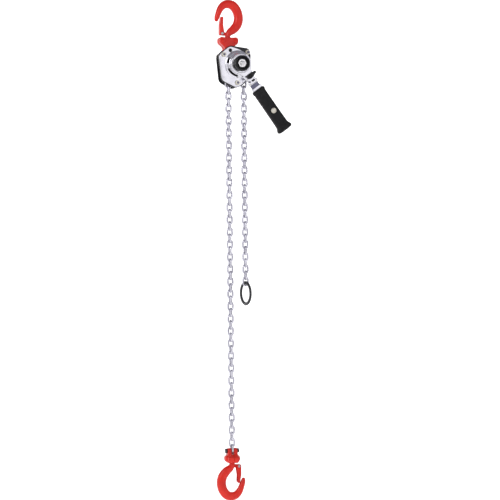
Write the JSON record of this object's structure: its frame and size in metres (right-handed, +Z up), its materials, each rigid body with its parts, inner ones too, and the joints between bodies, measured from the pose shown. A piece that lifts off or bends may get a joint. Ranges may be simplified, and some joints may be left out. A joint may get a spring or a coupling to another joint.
{
  "type": "lever chain hoist",
  "caption": "Compact lever chain hoist: top hook, frame with gear case, brake and ratchet lever, load chain with bottom hook, slack chain with end ring.",
  "frame": {"origin": "seat of the top hook's bowl, on the load line", "axes": "+Z up along the load line, -Y towards the knob and lever, +X towards the slack chain and the lever's grip"},
  "size_m": [0.152, 0.0728, 0.9706],
  "materials": {
    "red_paint": "gloss red enamel, worn at edges",
    "chrome": "bright nickel-chrome plating",
    "plated_steel": "zinc-plated steel",
    "machined_steel": "machined steel, oiled",
    "zinc_fastener": "yellowish zinc plating",
    "black_paint": "satin black enamel",
    "black_plastic": "moulded black plastic",
    "rubber": "black rubber grip",
    "lining": "brown friction lining"
  },
  "bodies": {
    "hook_body": {"top_hook": "red_paint", "top_latch_pin": "machined_steel", "top_latch_spring": "machined_steel"},
    "top_latch_body": {"top_latch": "red_paint"},
    "yoke_body": {"top_yoke_front": "red_paint", "top_yoke_rear": "red_paint"},
    "frame_body": {"top_pin": "machined_steel", "frame_plate_front": "black_paint", "frame_plate_rear": "black_paint", "brake_cover": "chrome", "gear_cover": "black_paint", "stay_bolt_1": "zinc_fastener", "stay_bolt_2": "zinc_fastener", "stay_bolt_3": "zinc_fastener", "stay_nut_1": "zinc_fastener", "stay_nut_2": "zinc_fastener", "stay_nut_3": "zinc_fastener", "chain_guide": "black_paint", "chain_stripper": "machined_steel", "ratchet_disc": "machined_steel", "chain_over_sheave": "plated_steel"},
    "sheave_body": {"load_sheave": "machined_steel", "load_gear": "machined_steel"},
    "disc_gear_a_body": {"disc_gear_a": "machined_steel"},
    "disc_gear_b_body": {"disc_gear_b": "machined_steel"},
    "drive_body": {"drive_shaft": "machined_steel", "brake_hub": "machined_steel", "friction_disc_inner": "lining", "friction_disc_outer": "lining", "change_gear": "machined_steel", "shaft_nut": "machined_steel"},
    "knob_body": {"hand_knob": "black_plastic"},
    "pawl_a_body": {"pawl_a": "machined_steel"},
    "pawl_b_body": {"pawl_b": "machined_steel"},
    "lever_body": {"lever_rear_shell": "chrome", "lever_front_shell": "chrome", "lever_grip": "rubber", "grip_screw": "zinc_fastener"},
    "selector_body": {"selector_lever": "black_plastic"},
    "load_length_1": {"load_chain_1": "plated_steel"},
    "slack_length_1": {"slack_chain_1": "plated_steel"},
    "load_length_2": {"load_chain_2": "plated_steel"},
    "slack_length_2": {"slack_chain_2": "plated_steel"},
    "load_length_3": {"load_chain_3": "plated_steel"},
    "slack_length_3": {"slack_chain_3": "plated_steel"},
    "load_length_4": {"load_chain_4": "plated_steel"},
    "slack_length_4": {"slack_chain_4": "plated_steel"},
    "load_length_5": {"load_chain_5": "plated_steel"},
    "slack_length_5": {"slack_chain_5": "plated_steel"},
    "load_length_6": {"load_chain_6": "plated_steel"},
    "slack_length_6": {"slack_chain_6": "plated_steel"},
    "block_body": {"bottom_yoke_left": "red_paint", "bottom_yoke_right": "red_paint", "chain_pin": "black_paint", "chain_pin_nut": "black_paint"},
    "bottom_hook_body": {"bottom_hook": "red_paint", "bottom_latch_pin": "machined_steel", "bottom_latch_spring": "machined_steel"},
    "bottom_latch_body": {"bottom_latch": "red_paint"},
    "ring_body": {"end_ring": "black_paint"}
  },
  "joints": [
    {"name": "hoist_swivel", "type": "hinge", "parent": "hook_body", "child": "yoke_body", "pos_m": [0, 0, -0.066], "axis": [0, 0, 1], "continuous": true},
    {"name": "top_latch_open", "type": "hinge", "parent": "hook_body", "child": "top_latch_body", "pos_m": [-0.0126, 0, -0.0495], "axis": [0, 1, 0], "range_deg": [0, 20], "stiffness_Nm_per_rad": 0.05, "springref_deg": -28.65},
    {"name": "frame_swing", "type": "hinge", "parent": "yoke_body", "child": "frame_body", "pos_m": [0, 0, -0.083], "axis": [0, 1, 0], "range_deg": [-15, 15]},
    {"name": "lever_turn", "type": "hinge", "parent": "frame_body", "child": "lever_body", "pos_m": [0.01585, 0, -0.11], "axis": [0, 1, 0], "continuous": true},
    {"name": "selector_turn", "type": "hinge", "parent": "lever_body", "child": "selector_body", "pos_m": [0.0337, -0.029, -0.13412], "axis": [0, 1, 0], "range_deg": [-20, 20]},
    {"name": "pawl_a_lift", "type": "hinge", "parent": "frame_body", "child": "pawl_a_body", "pos_m": [-0.00332, -0.0178, -0.11698], "axis": [0, 1, 0], "range_deg": [0, 14], "stiffness_Nm_per_rad": 0.01, "springref_deg": -22.92},
    {"name": "pawl_b_lift", "type": "hinge", "parent": "frame_body", "child": "pawl_b_body", "pos_m": [0.03502, -0.0178, -0.10302], "axis": [0, 1, 0], "range_deg": [0, 14], "stiffness_Nm_per_rad": 0.01, "springref_deg": -22.92},
    {"name": "sheave_turn", "type": "hinge", "parent": "frame_body", "child": "sheave_body", "pos_m": [0.01585, 0, -0.11], "axis": [0, 1, 0], "continuous": true},
    {"name": "disc_gear_a_turn", "type": "hinge", "parent": "frame_body", "child": "disc_gear_a_body", "pos_m": [0.00656, 0.02, -0.09673], "axis": [0, 1, 0], "continuous": true},
    {"name": "disc_gear_b_turn", "type": "hinge", "parent": "frame_body", "child": "disc_gear_b_body", "pos_m": [0.02514, 0.02, -0.12327], "axis": [0, 1, 0], "continuous": true},
    {"name": "drive_turn", "type": "hinge", "parent": "frame_body", "child": "drive_body", "pos_m": [0.01585, 0, -0.11], "axis": [0, 1, 0], "continuous": true},
    {"name": "knob_pull", "type": "slide", "parent": "drive_body", "child": "knob_body", "axis": [0, -1, 0], "range_m": [0, 0.004], "stiffness_N_per_m": 400, "springref_m": -0.003},
    {"name": "load_length_1_slide", "type": "slide", "parent": "frame_body", "child": "load_length_1", "axis": [0, 0, 1], "range_m": [-0.048, 0.096]},
    {"name": "load_length_2_slide", "type": "slide", "parent": "frame_body", "child": "load_length_2", "axis": [0, 0, 1], "range_m": [-0.096, 0.192]},
    {"name": "load_length_3_slide", "type": "slide", "parent": "frame_body", "child": "load_length_3", "axis": [0, 0, 1], "range_m": [-0.144, 0.288]},
    {"name": "load_length_4_slide", "type": "slide", "parent": "frame_body", "child": "load_length_4", "axis": [0, 0, 1], "range_m": [-0.192, 0.384]},
    {"name": "load_length_5_slide", "type": "slide", "parent": "frame_body", "child": "load_length_5", "axis": [0, 0, 1], "range_m": [-0.24, 0.48]},
    {"name": "lift", "type": "slide", "parent": "frame_body", "child": "load_length_6", "axis": [0, 0, 1], "range_m": [-0.288, 0.576], "deforming": ["chain_over_sheave", "load_chain_1", "load_chain_2", "load_chain_3", "load_chain_4", "load_chain_5", "load_chain_6", "slack_chain_1", "slack_chain_2", "slack_chain_3", "slack_chain_4", "slack_chain_5", "slack_chain_6"]},
    {"name": "slack_length_1_slide", "type": "slide", "parent": "frame_body", "child": "slack_length_1", "axis": [0, 0, 1], "range_m": [-0.096, 0.048]},
    {"name": "slack_length_2_slide", "type": "slide", "parent": "frame_body", "child": "slack_length_2", "axis": [0, 0, 1], "range_m": [-0.192, 0.096]},
    {"name": "slack_length_3_slide", "type": "slide", "parent": "frame_body", "child": "slack_length_3", "axis": [0, 0, 1], "range_m": [-0.288, 0.144]},
    {"name": "slack_length_4_slide", "type": "slide", "parent": "frame_body", "child": "slack_length_4", "axis": [0, 0, 1], "range_m": [-0.384, 0.192]},
    {"name": "slack_length_5_slide", "type": "slide", "parent": "frame_body", "child": "slack_length_5", "axis": [0, 0, 1], "range_m": [-0.48, 0.24]},
    {"name": "slack_length_6_slide", "type": "slide", "parent": "frame_body", "child": "slack_length_6", "axis": [0, 0, 1], "range_m": [-0.576, 0.288]},
    {"name": "block_swing", "type": "hinge", "parent": "load_length_6", "child": "block_body", "pos_m": [0, 0, -0.8577], "axis": [1, 0, 0], "range_deg": [-25, 25]},
    {"name": "hook_swivel", "type": "hinge", "parent": "block_body", "child": "bottom_hook_body", "pos_m": [0, 0, -0.871], "axis": [0, 0, 1], "continuous": true},
    {"name": "bottom_latch_open", "type": "hinge", "parent": "bottom_hook_body", "child": "bottom_latch_body", "pos_m": [0.0126, 0, -0.8881], "axis": [0, 1, 0], "range_deg": [0, 20], "stiffness_Nm_per_rad": 0.05, "springref_deg": -28.65},
    {"name": "ring_swing", "type": "hinge", "parent": "slack_length_6", "child": "ring_body", "pos_m": [0.0317, 0, -0.5325], "axis": [-0.1197, 0.9928, 0], "range_deg": [-30, 30]}
  ],
  "couplings": [
    {"joint": "load_length_1_slide", "follows": "lift", "ratio": 0.16667},
    {"joint": "load_length_2_slide", "follows": "lift", "ratio": 0.33333},
    {"joint": "load_length_3_slide", "follows": "lift", "ratio": 0.5},
    {"joint": "load_length_4_slide", "follows": "lift", "ratio": 0.66667},
    {"joint": "load_length_5_slide", "follows": "lift", "ratio": 0.83333},
    {"joint": "slack_length_1_slide", "follows": "lift", "ratio": -0.16667},
    {"joint": "slack_length_2_slide", "follows": "lift", "ratio": -0.33333},
    {"joint": "slack_length_3_slide", "follows": "lift", "ratio": -0.5},
    {"joint": "slack_length_4_slide", "follows": "lift", "ratio": -0.66667},
    {"joint": "slack_length_5_slide", "follows": "lift", "ratio": -0.83333},
    {"joint": "slack_length_6_slide", "follows": "lift", "ratio": -1},
    {"joint": "sheave_turn", "follows": "lift", "rad_per_m": 65.45},
    {"joint": "disc_gear_a_turn", "follows": "lift", "rad_per_m": -130.9},
    {"joint": "disc_gear_b_turn", "follows": "lift", "rad_per_m": -130.9},
    {"joint": "drive_turn", "follows": "lift", "rad_per_m": 261.8}
  ]
}
